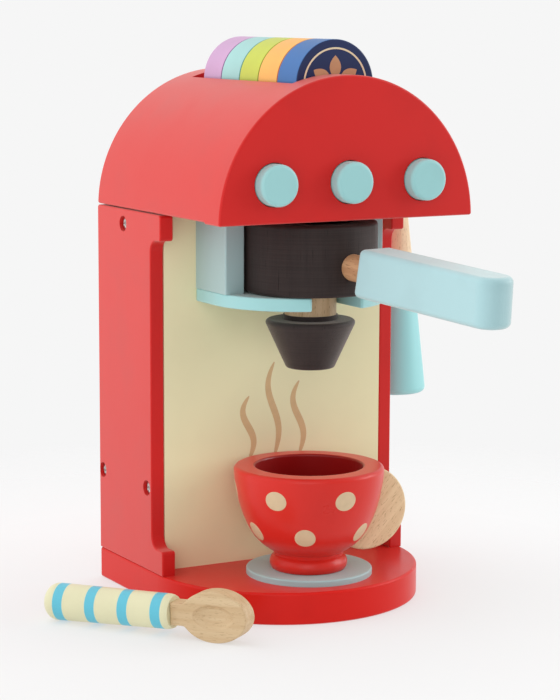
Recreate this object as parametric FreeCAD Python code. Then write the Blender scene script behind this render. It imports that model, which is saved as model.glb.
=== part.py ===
import FreeCAD, Part
import math
import os

# Wooden toy coffee maker with pods, cup and spoon. Millimetres, +Z up, the front faces -Y.
# The origin is the centre of the base's underside, on the surface that the toy stands on.

# Fits and soft edges
board_fit = 0.2
rest_gap = 0.3
turn_fit = 0.08
soft_edge = 1.2
fine_edge = 0.8

# Base board
base_width = 144.0
base_thick = 16.4
base_straight = 70.5
base_corner = 1.5
base_edge = 1.4

# Side panels, with a tab at the head and a foot at the base in front of a waist
panel_thick = 7.5
panel_height = 185.4
waist_depth = 63.6
tab_depth = 75.0
tab_height = 13.2
foot_depth = 76.3
foot_height = 12.9
cove_radius = 6.2
tip_radius = 1.6

# Boards between the side panels
front_thick = 11.0
back_thick = 7.5
back_inset = 0.7
top_thick = 16.2
head_seam = 0.6

# Head: a half-round block and a thicker front plate
head_radius = 72.0
head_drop = 1.7
block_depth = 123.8
plate_thick = 15.5
plate_lip = 0.8

# Pods and their slot
pod_count = 5
pod_radius = 22.0
pod_gap = 0.2
pod_height = 65.3
slot_half_width = 24.4
slot_rear_wall = 16.8
slot_plate_step = 1.1
slot_free_length = 8.75
slot_corner = 6.0

# Push buttons in the front plate
button_radius = 10.3
button_pitch = 42.1
button_height = 18.2
button_proud = 6.8
button_edge = 2.0
button_hole_gap = 0.5
flange_radius = 12.8
flange_thick = 3.5
pocket_gap = 0.8
spring_length = 11.6
spring_radius = 8.0
spring_wire = 0.7
spring_turns = 4

# Bracket: two blocks and a fork plate in front of the front panel
block_thick = 10.8
bracket_half_width = 46.0
bracket_depth = 32.6
fork_top = 162.7
fork_thick = 6.7
fork_straight = 21.2
fork_slot_gap = 0.8

# Brewing axis, in front of the rear edge, shared by chamber, nozzle, coaster and cup
axis_depth = 101.4

# Chamber, spindle and nozzle
chamber_radius = 33.9
chamber_height = 35.8
chamber_edge = 1.8
recess_gap = 0.8
recess_depth = 20.0
spindle_radius = 13.2
spindle_socket = 12.0
collar_height = 2.4
collar_radius = 13.9
collar_gap = 4.9
nozzle_top_radius = 23.8
nozzle_bottom_radius = 12.2
nozzle_height = 25.1
nozzle_edge = 1.8

# Handle of the chamber, on a round peg
peg_radius = 6.7
peg_height = 14.8
peg_bare = 13.8
peg_chamber_socket = 9.0
peg_handle_socket = 14.0
handle_length = 95.9
handle_width = 20.4
handle_height = 24.4
handle_end_radius = 9.6
handle_edge = 3.0
handle_near_lean = 7.5
handle_turn = 8.5
handle_droop = 3.6

# Steam wand on the right side panel
wand_clear = 1.6
wand_depth = 34.6
wand_top = 200.0
wand_bottom = 94.1
wand_top_radius = 6.3
wand_bottom_radius = 17.9
wand_top_round = 4.0
wand_bottom_round = 3.0
pivot_height = 177.0
pivot_radius = 4.0
pivot_collar_radius = 8.0
pivot_collar_thick = 5.0

# Coaster and cup; the cup's wall is a smooth line through pairs of radius and height
coaster_radius = 32.5
coaster_thick = 3.2
cup_height = 53.5
cup_rim_radius = 38.7
cup_wall_line = ((18.2, 8.9), (22.8, 12.0), (27.2, 16.0), (30.6, 21.0), (33.8, 28.0), (36.8, 38.0))
cup_waist_radius = 17.8
cup_waist_height = 7.2
cup_foot_radius = 20.0
cup_foot_bulge = 3.4
cup_foot_base = 19.0
cup_bore_radius = 27.7
cup_bore_straight = 11.5
cup_rim_round = 2.2
cup_lip_round = 1.2
cup_forward = 1.5
cup_aside = -1.2
ear_turn = 8.0
ear_radius = 22.0
ear_thick = 8.0
ear_reach = 31.0
ear_height = 29.1

# Spoon, lying on the floor beside the base
spoon_handle_radius = 9.35
spoon_handle_length = 71.8
spoon_end_round = 6.5
spoon_shoulder_radius = 8.8
spoon_taper_length = 4.0
spoon_taper_radius = 8.0
spoon_neck_length = 5.85
spoon_half_length = 17.9
spoon_half_width = 12.7
spoon_thick = 10.0
spoon_neck_width = 11.2
spoon_neck_cove = 3.0
spoon_tenon_radius = 3.5
spoon_tenon_length = 10.0
spoon_bowl_length = 23.0
spoon_bowl_width = 12.2
spoon_bowl_depth = 3.0
spoon_turn = -54.5
spoon_left_x = -130.5
spoon_left_y = 5.7

# Screws and dowels
screw_head_radius = 3.7
base_screw_head = 2.7
screw_head_height = 2.4
screw_shank_radius = 1.75
screw_side_length = 24.0
screw_long = 30.0
screw_well_gap = 0.4
screw_well_depth = 4.4
screw_fit = 0.05
upper_screw_depth = 31.5
upper_screw_height = 194.2
lower_screw_height = 59.6
head_dowel_radius = 4.0
head_dowel_length = 22.0
bracket_dowel_radius = 3.0
bracket_dowel_length = 20.0
bracket_dowel_inset = 11.0

# Worked out from the sizes above
half_width = base_width / 2
rear_y = (base_straight + half_width) / 2
inner_x = half_width - panel_thick
panel_top = base_thick + panel_height
head_bottom = panel_top + head_seam
arc_z = head_bottom - head_drop
front_panel_y = rear_y - waist_depth
back_panel_y = rear_y - back_inset
back_front_y = back_panel_y - back_thick
front_back_y = front_panel_y + front_thick
plate_rear_y = rear_y - block_depth
plate_front_y = plate_rear_y - plate_thick
axis_y = rear_y - axis_depth
pod_z = head_bottom + pod_height
slot_length = block_depth - slot_rear_wall + slot_plate_step
pod_thick = (slot_length - rest_gap - slot_free_length - (pod_count - 1) * pod_gap) / pod_count
slot_floor_z = pod_z - pod_radius - rest_gap
button_z = head_bottom + button_height
button_xs = (-button_pitch, 0.0, button_pitch)
pocket_radius = flange_radius + pocket_gap
pocket_depth = rest_gap + flange_thick + spring_length
chamber_bottom = fork_top + rest_gap
chamber_top = chamber_bottom + chamber_height
fork_bottom = fork_top - fork_thick
nozzle_collar_top = fork_bottom - collar_gap
nozzle_top = nozzle_collar_top - collar_height
nozzle_bottom = nozzle_top - nozzle_height
coaster_top = base_thick + coaster_thick
cup_floor = coaster_top + board_fit
spoon_reach = spoon_handle_length + spoon_neck_length + spoon_half_length
wand_x = half_width + wand_clear + wand_bottom_radius
wand_y = rear_y - wand_depth
block_inner_x = bracket_half_width - block_thick
block_middle_x = bracket_half_width - block_thick / 2
X = FreeCAD.Vector(1, 0, 0)
Y = FreeCAD.Vector(0, 1, 0)
Z = FreeCAD.Vector(0, 0, 1)


def vec(x, y, z):
    return FreeCAD.Vector(x, y, z)


def box(x0, x1, y0, y1, z0, z1):
    """Block between two corners."""
    return Part.makeBox(x1 - x0, y1 - y0, z1 - z0, vec(x0, y0, z0))


def rod(radius, length, start, direction):
    """Cylinder from a start point along a direction."""
    return Part.makeCylinder(radius, length, start, direction)


def line(a, b):
    return Part.LineSegment(a, b).toShape()


def arc(a, b, c):
    return Part.Arc(a, b, c).toShape()


def prism(edges, direction):
    """Closed outline carried along a direction."""
    return Part.Face(Part.Wire(edges)).extrude(direction)


def turned(edges):
    """Closed half profile in the XZ plane, turned about the Z axis."""
    return Part.Face(Part.Wire(edges)).revolve(vec(0, 0, 0), Z, 360)


def rounded(shape, radius, wanted):
    """Round the edges that a test picks out."""
    return shape.makeFillet(radius, [edge for edge in shape.Edges if wanted(edge)])


def flat_in(axis, value):
    """Test for edges that lie whole in one plane across an axis."""
    def test(edge):
        bounds = edge.BoundBox
        low, high = {
            "x": (bounds.XMin, bounds.XMax),
            "y": (bounds.YMin, bounds.YMax),
            "z": (bounds.ZMin, bounds.ZMax),
        }[axis]
        return abs(low - value) < 0.01 and abs(high - value) < 0.01
    return test


def along(axis):
    """Test for straight edges that run along an axis."""
    def test(edge):
        ends = [vertex.Point for vertex in edge.Vertexes]
        if len(ends) != 2:
            return False
        return abs((ends[1] - ends[0]).dot(axis)) > 0.9999 * edge.Length
    return test


def any_of(*tests):
    return lambda edge: any(test(edge) for test in tests)


def screw(start, direction, length, head_radius):
    """Wood screw with its head's top at the start point and its point at the far end."""
    head = rod(head_radius, screw_head_height, start, direction)
    neck = start + direction * screw_head_height
    straight = length - screw_head_height - 3 * screw_shank_radius
    shank = rod(screw_shank_radius, straight, neck, direction)
    radius = screw_shank_radius
    tip = Part.makeCone(radius, radius / 6, 3 * radius, neck + direction * straight, direction)
    return head.fuse([shank, tip]).removeSplitter()


def screw_well(start, direction, length, head_radius):
    """Well for a screw's head and the hole for its shank, cut from a board's face."""
    well = rod(head_radius + screw_well_gap, screw_well_depth, start, direction)
    hole = rod(screw_shank_radius + screw_fit, length, start, direction)
    return well.fuse(hole)


def screw_set(places, direction, length, head_radius):
    """Screws sunk to the floor of their wells: the screws and the tools that cut their holes."""
    sunk = screw_well_depth - screw_head_height
    screws = [screw(place + direction * sunk, direction, length, head_radius) for place in places]
    wells = [screw_well(place, direction, length + sunk + rest_gap, head_radius) for place in places]
    return screws, wells


def side_screw_places(side):
    """One screw into the top board, one into the back panel and one into the front panel."""
    x = side * half_width
    return [
        vec(x, rear_y - upper_screw_depth, upper_screw_height),
        vec(x, back_panel_y - back_thick / 2, lower_screw_height),
        vec(x, front_panel_y + front_thick / 2, lower_screw_height),
    ]


def base_screw_places():
    """Screws through the base, up into each side panel's lower edge, nearer to its inside."""
    x = inner_x + panel_thick * 0.4
    ys = (rear_y - foot_depth / 4, rear_y - foot_depth * 3 / 4)
    return [vec(side * x, y, 0) for side in (-1, 1) for y in ys]


def head_screw_places():
    """Screws up through the top board into the head block."""
    z = head_bottom - top_thick
    span = back_front_y - front_back_y
    ys = (front_back_y + span / 4, front_back_y + span * 3 / 4)
    return [vec(side * inner_x / 2, y, z) for side in (-1, 1) for y in ys]


def fork_screw_places():
    """Screws up through the fork plate into the middle of the two blocks."""
    y = front_panel_y - bracket_depth / 2
    return [vec(side * block_middle_x, y, fork_bottom) for side in (-1, 1)]


def d_outline(half, back, arc_y, z, corner):
    """Outline with a straight back, rounded rear corners, straight sides and a half-round front."""
    bend = corner * (1 - math.sqrt(0.5))
    return [
        line(vec(-half, arc_y, z), vec(-half, back - corner, z)),
        arc(vec(-half, back - corner, z), vec(-half + bend, back - bend, z), vec(-half + corner, back, z)),
        line(vec(-half + corner, back, z), vec(half - corner, back, z)),
        arc(vec(half - corner, back, z), vec(half - bend, back - bend, z), vec(half, back - corner, z)),
        line(vec(half, back - corner, z), vec(half, arc_y, z)),
        arc(vec(half, arc_y, z), vec(0, arc_y - half, z), vec(-half, arc_y, z)),
    ]


def base_board(wells):
    outline = d_outline(half_width, rear_y, rear_y - base_straight, 0, base_corner)
    board = prism(outline, Z * base_thick)
    board = rounded(board, base_edge, any_of(flat_in("z", 0), flat_in("z", base_thick)))
    return board.cut(wells)


def side_panel(side, holes):
    """C-shaped panel: tab and foot reach further forward than the waist between them."""
    top = panel_top
    waist_y = rear_y - waist_depth
    step = min(tab_depth, foot_depth) - waist_depth
    corners = [
        (rear_y, base_thick),
        (rear_y, top),
        (rear_y - tab_depth, top),
        (rear_y - tab_depth, top - tab_height),
        (waist_y, top - tab_height),
        (waist_y, base_thick + foot_height),
        (rear_y - foot_depth, base_thick + foot_height),
        (rear_y - foot_depth, base_thick),
    ]
    inside = side * inner_x
    points = [vec(inside, y, z) for y, z in corners]
    edges = [line(a, b) for a, b in zip(points, points[1:] + points[:1])]
    panel = prism(edges, X * (side * panel_thick))

    def cove(edge):
        return along(X)(edge) and abs(edge.Vertexes[0].Y - waist_y) < 0.01

    def tip(edge):
        on_floor = abs(edge.Vertexes[0].Z - base_thick) < 0.01
        return along(X)(edge) and not cove(edge) and not on_floor

    panel = rounded(panel, min(cove_radius, (step - tip_radius) * 0.9), cove)
    panel = rounded(panel, tip_radius, tip)
    panel = rounded(panel, fine_edge, any_of(flat_in("x", side * half_width), flat_in("x", inside)))
    return panel.cut(holes)


def upright_board(front, back, bottom, top, holes):
    """Board that fills the width between the side panels."""
    span = inner_x - board_fit
    return box(-span, span, front, back, bottom, top).cut(holes)


def head_outline(y, bottom):
    """Half-round outline on its chord, with the arc's centre a little below the head's underside."""
    drop = bottom - arc_z
    chord = math.sqrt(head_radius ** 2 - drop ** 2)
    left = vec(-chord, y, bottom)
    right = vec(chord, y, bottom)
    return [line(left, right), arc(right, vec(0, y, arc_z + head_radius), left)]


def pod_slot():
    """Tool for the pod slot, open above, which runs through the block and a step into the plate."""
    front = plate_rear_y - slot_plate_step
    slot = box(
        -slot_half_width, slot_half_width, front, rear_y - slot_rear_wall,
        slot_floor_z, arc_z + head_radius + 1,
    )
    return rounded(
        slot, slot_corner, lambda edge: along(Y)(edge) and abs(edge.Vertexes[0].Z - slot_floor_z) < 0.01
    )


def head_block(holes):
    """Half-round block with the pod slot cut from above and the button pockets from the front."""
    block = prism(head_outline(rear_y, head_bottom), Y * -block_depth)
    block = rounded(block, soft_edge, any_of(along(Y), flat_in("y", rear_y)))
    pockets = [rod(pocket_radius, pocket_depth, vec(x, plate_rear_y, button_z), Y) for x in button_xs]
    return block.cut([pod_slot()] + pockets + holes)


def head_plate(holes):
    """Front plate of the head, a little deeper than the block, with a hole for each button."""
    plate = prism(head_outline(plate_rear_y, head_bottom - plate_lip), Y * -plate_thick)
    plate = rounded(plate, soft_edge, any_of(along(Y), flat_in("y", plate_front_y)))
    hole_radius = button_radius + button_hole_gap
    bores = [rod(hole_radius, plate_thick, vec(x, plate_front_y, button_z), Y) for x in button_xs]
    return plate.cut([pod_slot()] + bores + holes)


def head_dowels(fit):
    """Dowels between the button pockets that join the plate to the block."""
    start = plate_rear_y - head_dowel_length / 2 - fit
    length = head_dowel_length + 2 * fit
    places = [vec(side * button_pitch / 2, start, button_z) for side in (-1, 1)]
    return [rod(head_dowel_radius + fit, length, place, Y) for place in places]


def button(x):
    """Turned peg with a rounded face and a flange that stops it behind the front plate."""
    face_y = plate_front_y - button_proud
    flange_y = plate_rear_y + rest_gap
    shaft = rod(button_radius, flange_y - face_y, vec(x, face_y, button_z), Y)
    shaft = rounded(shaft, button_edge, flat_in("y", face_y))
    flange = rod(flange_radius, flange_thick, vec(x, flange_y, button_z), Y)
    return shaft.fuse(flange).removeSplitter()


def button_spring(x):
    """Open coil between the flange and the floor of the pocket: six-sided wire along a helix."""
    pitch = (spring_length - 2 * spring_wire - rest_gap) / spring_turns
    helix = Part.makeHelix(pitch, pitch * spring_turns, spring_radius)
    turns = [side * math.pi / 3 for side in range(6)]
    corners = [
        vec(spring_radius + spring_wire * math.sin(turn), 0, spring_wire * math.cos(turn)) for turn in turns
    ]
    coil = Part.Wire(helix).makePipeShell([Part.makePolygon(corners + corners[:1])], True, True)
    coil.rotate(vec(0, 0, 0), X, -90)
    flange_y = plate_rear_y + rest_gap + flange_thick
    coil.translate(vec(x, flange_y + spring_wire + rest_gap / 2, button_z))
    return coil


def pod(index):
    """Disc standing on edge in the slot, counted from the front."""
    front = plate_rear_y - slot_plate_step + rest_gap + index * (pod_thick + pod_gap)
    disc = rod(pod_radius, pod_thick, vec(0, front, pod_z), Y)
    return rounded(disc, fine_edge, any_of(flat_in("y", front), flat_in("y", front + pod_thick)))


def bracket_block(side, holes):
    """Block that hangs under the head beside the chamber."""
    near = side * block_inner_x
    far = side * bracket_half_width
    block = box(
        min(near, far), max(near, far), front_panel_y - bracket_depth, front_panel_y, fork_top, head_bottom
    )
    front = front_panel_y - bracket_depth
    block = rounded(block, fine_edge, lambda edge: along(Z)(edge) and abs(edge.Vertexes[0].Y - front) < 0.01)
    return block.cut(holes)


def bracket_dowels(side, fit):
    """Two dowels from the front panel into a bracket block."""
    start = front_panel_y - bracket_dowel_length * 0.6
    return [
        rod(
            bracket_dowel_radius + fit, bracket_dowel_length + 2 * fit,
            vec(side * block_middle_x, start - fit, z), Y,
        )
        for z in (fork_top + bracket_dowel_inset, head_bottom - bracket_dowel_inset)
    ]


def fork_plate(holes):
    """Half-round plate under the blocks, with a slot from the front for the spindle."""
    arc_y = front_panel_y - fork_straight
    outline = d_outline(bracket_half_width, front_panel_y, arc_y, fork_bottom, fine_edge)
    plate = prism(outline, Z * fork_thick)
    slot_radius = spindle_radius + fork_slot_gap
    slot = rod(slot_radius, fork_thick, vec(0, axis_y, fork_bottom), Z)
    reach = bracket_half_width + fork_straight
    slot = slot.fuse(box(-slot_radius, slot_radius, axis_y - reach, axis_y, fork_bottom, fork_top))
    plate = plate.cut(slot)

    def lobe_tip(edge):
        return along(Z)(edge) and edge.Vertexes[0].Y < axis_y and abs(edge.Vertexes[0].X) < slot_radius + 1

    plate = rounded(plate, soft_edge, lobe_tip)
    plate = rounded(plate, fine_edge, any_of(flat_in("z", fork_bottom), flat_in("z", fork_top)))
    return plate.cut(holes)


def chamber():
    """Round chamber that takes one pod from above, the spindle from below and the peg from the side."""
    body = rod(chamber_radius, chamber_height, vec(0, axis_y, chamber_bottom), Z)
    body = rounded(body, chamber_edge, any_of(flat_in("z", chamber_bottom), flat_in("z", chamber_top)))
    recess = rod(pod_radius + recess_gap, recess_depth + 1, vec(0, axis_y, chamber_top - recess_depth), Z)
    socket = rod(spindle_radius + turn_fit, spindle_socket + rest_gap, vec(0, axis_y, chamber_bottom), Z)
    return body.cut([recess, socket, on_handle(rod(
        peg_radius + screw_fit, peg_chamber_socket + chamber_radius, vec(-peg_chamber_socket, 0, 0), X
    ))])


def on_handle(shape):
    """Place a piece drawn along +X from the chamber's wall: tip it down, turn it and carry it out."""
    shape.rotate(vec(0, 0, 0), Y, handle_droop)
    shape.translate(vec(chamber_radius, 0, 0))
    shape.rotate(vec(0, 0, 0), Z, handle_turn - 90)
    shape.translate(vec(0, axis_y, chamber_bottom + peg_height))
    return shape


def handle_peg():
    length = peg_chamber_socket + peg_bare + peg_handle_socket
    return on_handle(rod(peg_radius, length - rest_gap, vec(-peg_chamber_socket + rest_gap / 2, 0, 0), X))


def handle():
    """Bar with a round far end, a near end cut aslant and soft edges, bored for the peg."""
    far = peg_bare + handle_length
    half = handle_width / 2
    rise = handle_height / 2
    lean = rise * math.tan(math.radians(handle_near_lean))
    corners = [
        vec(peg_bare - lean, -half, -rise),
        vec(far, -half, -rise),
        vec(far, -half, rise),
        vec(peg_bare + lean, -half, rise),
    ]
    bar = prism([line(a, b) for a, b in zip(corners, corners[1:] + corners[:1])], Y * handle_width)
    end_radius = min(handle_end_radius, half * 0.95)
    straight = far - end_radius - 1
    bar = rounded(bar, end_radius, lambda edge: along(Z)(edge) and edge.Vertexes[0].X > straight)
    bar = rounded(bar, handle_edge, lambda edge: not (along(Z)(edge) and edge.Vertexes[0].X > straight))
    bore = rod(peg_radius + screw_fit, peg_handle_socket + lean, vec(peg_bare - lean, 0, 0), X)
    return on_handle(bar.cut(bore))


def spindle():
    """Dowel through the fork's slot, from the nozzle up into the chamber."""
    bottom = nozzle_collar_top - spindle_socket
    return rod(spindle_radius, chamber_bottom + spindle_socket - bottom, vec(0, axis_y, bottom), Z)


def nozzle():
    """Cone with a short collar on top, bored for the spindle."""
    edges = [
        line(vec(0, 0, nozzle_bottom), vec(nozzle_bottom_radius, 0, nozzle_bottom)),
        line(vec(nozzle_bottom_radius, 0, nozzle_bottom), vec(nozzle_top_radius, 0, nozzle_top)),
        line(vec(nozzle_top_radius, 0, nozzle_top), vec(0, 0, nozzle_top)),
        line(vec(0, 0, nozzle_top), vec(0, 0, nozzle_bottom)),
    ]
    cone = turned(edges)
    cone = rounded(cone, nozzle_edge, any_of(flat_in("z", nozzle_bottom), flat_in("z", nozzle_top)))
    cone = cone.fuse(rod(collar_radius, collar_height + 1, vec(0, 0, nozzle_top - 1), Z))
    cone = cone.cut(rod(spindle_radius, spindle_socket, vec(0, 0, nozzle_collar_top - spindle_socket), Z))
    cone.translate(vec(0, axis_y, 0))
    return cone


def steam_wand():
    """Tapered turned wand that hangs beside the right panel on its pivot."""
    edges = [
        line(vec(0, 0, wand_bottom), vec(wand_bottom_radius, 0, wand_bottom)),
        line(vec(wand_bottom_radius, 0, wand_bottom), vec(wand_top_radius, 0, wand_top)),
        line(vec(wand_top_radius, 0, wand_top), vec(0, 0, wand_top)),
        line(vec(0, 0, wand_top), vec(0, 0, wand_bottom)),
    ]
    wand = turned(edges)
    wand = rounded(wand, wand_top_round, flat_in("z", wand_top))
    wand = rounded(wand, wand_bottom_round, flat_in("z", wand_bottom))
    wand.translate(vec(wand_x, wand_y, 0))
    return wand.cut(wand_pivot(screw_fit))


def pivot_inner_x():
    """Inner end of the pivot, inside the case behind the side panel's collar."""
    return inner_x - rest_gap - pivot_collar_thick


def wand_pivot(fit):
    start = vec(pivot_inner_x(), wand_y, pivot_height)
    return rod(pivot_radius + fit, wand_x + pivot_radius / 2 + fit - start.x, start, X)


def pivot_collar():
    start = vec(pivot_inner_x(), wand_y, pivot_height)
    return rod(pivot_collar_radius, pivot_collar_thick, start, X).cut(wand_pivot(0))


def coaster():
    disc = rod(coaster_radius, coaster_thick, vec(0, axis_y, base_thick), Z)
    return rounded(disc, fine_edge, flat_in("z", coaster_top))


def cup_outside():
    """Solid of the cup's outer form: a rounded foot, a waist and a full bowl."""
    foot = vec(cup_foot_base, 0, 0)
    waist = vec(cup_waist_radius, 0, cup_waist_height)
    rim = vec(cup_rim_radius, 0, cup_height)
    wall_points = [vec(radius, 0, height) for radius, height in cup_wall_line] + [rim]
    wall = Part.BSplineCurve()
    wall.interpolate(wall_points)
    edges = [
        line(vec(0, 0, 0), foot),
        arc(foot, vec(cup_foot_radius, 0, cup_foot_bulge), waist),
        line(waist, wall_points[0]),
        wall.toShape(),
        line(rim, vec(0, 0, cup_height)),
        line(vec(0, 0, cup_height), vec(0, 0, 0)),
    ]
    return turned(edges)


def on_coaster(shape):
    """Stand a piece of the cup on the coaster, a little to the front and to one side of its centre."""
    shape.translate(vec(cup_aside, axis_y - cup_forward, cup_floor))
    return shape


def cup():
    """Thick turned cup: the outer form less a bore with a round bottom."""
    body = rounded(cup_outside(), cup_rim_round, flat_in("z", cup_height))
    bottom = cup_height - cup_bore_straight
    bore = rod(cup_bore_radius, cup_bore_straight + 1, vec(0, 0, bottom), Z)
    bore = bore.fuse(Part.makeSphere(cup_bore_radius, vec(0, 0, bottom))).removeSplitter()
    body = body.cut(bore)

    def lip(edge):
        return flat_in("z", cup_height)(edge) and edge.BoundBox.XMax < cup_bore_radius + 0.1

    return on_coaster(rounded(body, cup_lip_round, lip))


def cup_ear():
    """Flat round ear, cut away where it meets the cup's wall."""
    disc = rod(ear_radius, ear_thick, vec(ear_reach, -ear_thick / 2, ear_height), Y)
    disc = rounded(disc, soft_edge, any_of(flat_in("y", -ear_thick / 2), flat_in("y", ear_thick / 2)))
    disc.rotate(vec(0, 0, 0), Z, -ear_turn)
    return on_coaster(disc.cut(cup_outside()))


def on_floor(shape):
    """Lay a spoon piece drawn along +X so that its handle and the edge of its head touch the floor."""
    rise = spoon_half_width - spoon_handle_radius
    tilt = math.asin(rise / (spoon_reach - spoon_end_round))
    lift = spoon_handle_radius * math.cos(tilt) - spoon_end_round * math.sin(tilt)
    shape.rotate(vec(0, 0, 0), Y, -math.degrees(tilt))
    shape.rotate(vec(0, 0, 0), Z, spoon_turn)
    shape.translate(vec(spoon_left_x, spoon_left_y, lift))
    return shape


def spoon_tenon(fit):
    start = spoon_handle_length - spoon_tenon_length
    return rod(spoon_tenon_radius + fit, spoon_tenon_length + 1, vec(start - fit, 0, 0), X)


def spoon_handle():
    """Turned handle: a round end, a barrel that grows a little thinner and a soft end at the neck."""
    radius = spoon_handle_radius
    end = spoon_end_round
    bend = end * (1 - math.sqrt(0.5))
    barrel = spoon_handle_length - spoon_taper_length
    middle = barrel + spoon_taper_length * 0.6
    shoulder = spoon_taper_radius + (spoon_shoulder_radius - spoon_taper_radius) * 0.72
    edges = [
        line(vec(spoon_handle_length, 0, 0), vec(0, 0, 0)),
        line(vec(0, 0, 0), vec(0, 0, radius - end)),
        arc(vec(0, 0, radius - end), vec(bend, 0, radius - bend), vec(end, 0, radius)),
        line(vec(end, 0, radius), vec(barrel, 0, spoon_shoulder_radius)),
        arc(
            vec(barrel, 0, spoon_shoulder_radius), vec(middle, 0, shoulder),
            vec(spoon_handle_length, 0, spoon_taper_radius),
        ),
        line(vec(spoon_handle_length, 0, spoon_taper_radius), vec(spoon_handle_length, 0, 0)),
    ]
    body = Part.Face(Part.Wire(edges)).revolve(vec(0, 0, 0), X, 360)
    return on_floor(body.cut(spoon_tenon(screw_fit)))


def spoon_head():
    """Flat head cut from a board: oval with a short neck, a round tenon and a shallow oval bowl."""
    near = -spoon_thick / 2
    oval = Part.Ellipse(vec(spoon_reach, 0, 0), spoon_half_length, spoon_half_width)
    face = Part.Face(Part.Wire(oval.toShape()))
    face.rotate(vec(0, 0, 0), X, 90)
    face.translate(vec(0, near, 0))
    head = face.extrude(Y * spoon_thick)
    half = spoon_neck_width / 2
    neck = box(spoon_handle_length, spoon_reach, near, -near, -half, half)
    head = head.fuse(neck).removeSplitter()
    limit = spoon_reach - spoon_half_length / 2

    def cove(edge):
        return along(Y)(edge) and spoon_handle_length + 1 < edge.Vertexes[0].X < limit

    head = rounded(head, spoon_neck_cove, cove)
    head = rounded(head, fine_edge, any_of(flat_in("y", near), flat_in("y", -near)))
    head = head.fuse(spoon_tenon(0)).removeSplitter()
    return on_floor(head.cut(spoon_bowl()))


def spoon_bowl():
    """Tool for the bowl: an arc turned about an axis in front of the face, as long and wide as the bowl."""
    half_length = spoon_bowl_length / 2
    half_width_here = spoon_bowl_width / 2
    depth = spoon_bowl_depth
    long_radius = (half_length ** 2 + depth ** 2) / (2 * depth)
    cross_radius = (half_width_here ** 2 + depth ** 2) / (2 * depth)
    run = math.sqrt(long_radius ** 2 - (long_radius - cross_radius) ** 2)
    left = vec(spoon_reach - run, 0, 0)
    right = vec(spoon_reach + run, 0, 0)
    edges = [line(left, right), arc(right, vec(spoon_reach, cross_radius, 0), left)]
    tool = Part.Face(Part.Wire(edges)).revolve(vec(0, 0, 0), X, 360)
    tool.translate(vec(0, -spoon_thick / 2 - (cross_radius - depth), 0))
    return tool


def group(shapes):
    return Part.makeCompound(shapes)


def build():
    """Every sub-part by its name."""
    left_screws, left_wells = screw_set(side_screw_places(-1), X, screw_side_length, screw_head_radius)
    right_screws, right_wells = screw_set(side_screw_places(1), -X, screw_side_length, screw_head_radius)
    base_screws, base_wells = screw_set(base_screw_places(), Z, screw_long, base_screw_head)
    head_screws, head_wells = screw_set(head_screw_places(), Z, screw_long, screw_head_radius)
    fork_screws, fork_wells = screw_set(fork_screw_places(), Z, screw_side_length, screw_head_radius)
    side_wells = left_wells + right_wells
    dowel_holes = head_dowels(screw_fit)
    bracket_holes = bracket_dowels(-1, screw_fit) + bracket_dowels(1, screw_fit)
    pivot_hole = wand_pivot(turn_fit)
    nodes = {
        "base_board": base_board(base_wells),
        "side_panel_left": side_panel(-1, left_wells + base_wells),
        "side_panel_right": side_panel(1, right_wells + base_wells + [pivot_hole]),
        "front_panel": upright_board(
            front_panel_y, front_back_y, base_thick, head_bottom, side_wells + bracket_holes
        ),
        "back_panel": upright_board(back_front_y, back_panel_y, base_thick, head_bottom, side_wells),
        "top_board": upright_board(
            front_back_y, back_front_y, head_bottom - top_thick, head_bottom, side_wells + head_wells
        ),
        "head_block": head_block(dowel_holes + head_wells),
        "head_front_plate": head_plate(dowel_holes),
        "head_dowels": group(head_dowels(0)),
        "bracket_block_left": bracket_block(-1, bracket_holes + fork_wells),
        "bracket_block_right": bracket_block(1, bracket_holes + fork_wells),
        "bracket_dowels": group(bracket_dowels(-1, 0) + bracket_dowels(1, 0)),
        "fork_plate": fork_plate(fork_wells),
        "coaster": coaster(),
        "side_screws_left": group(left_screws),
        "side_screws_right": group(right_screws),
        "base_screws": group(base_screws),
        "head_screws": group(head_screws),
        "fork_screws": group(fork_screws),
        "spindle": spindle(),
        "nozzle": nozzle(),
        "chamber": chamber(),
        "handle_peg": handle_peg(),
        "handle": handle(),
        "steam_wand": steam_wand(),
        "wand_pivot": wand_pivot(0),
        "pivot_collar": pivot_collar(),
        "cup": cup(),
        "cup_ear": cup_ear(),
        "spoon_handle": spoon_handle(),
        "spoon_head": spoon_head(),
    }
    for index in range(pod_count):
        nodes["pod_%d" % (index + 1)] = pod(index)
    for name, x in zip(("left", "middle", "right"), button_xs):
        nodes["button_" + name] = button(x)
        nodes["button_spring_" + name] = button_spring(x)
    return nodes


os.makedirs("parts", exist_ok=True)
for name, shape in build().items():
    shape.exportStep("parts/" + name + ".step")
    print(name, len(shape.Solids), shape.isValid(), round(shape.Volume))
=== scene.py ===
import math

import bpy
import numpy as np
from mathutils import Matrix, Vector


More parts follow.
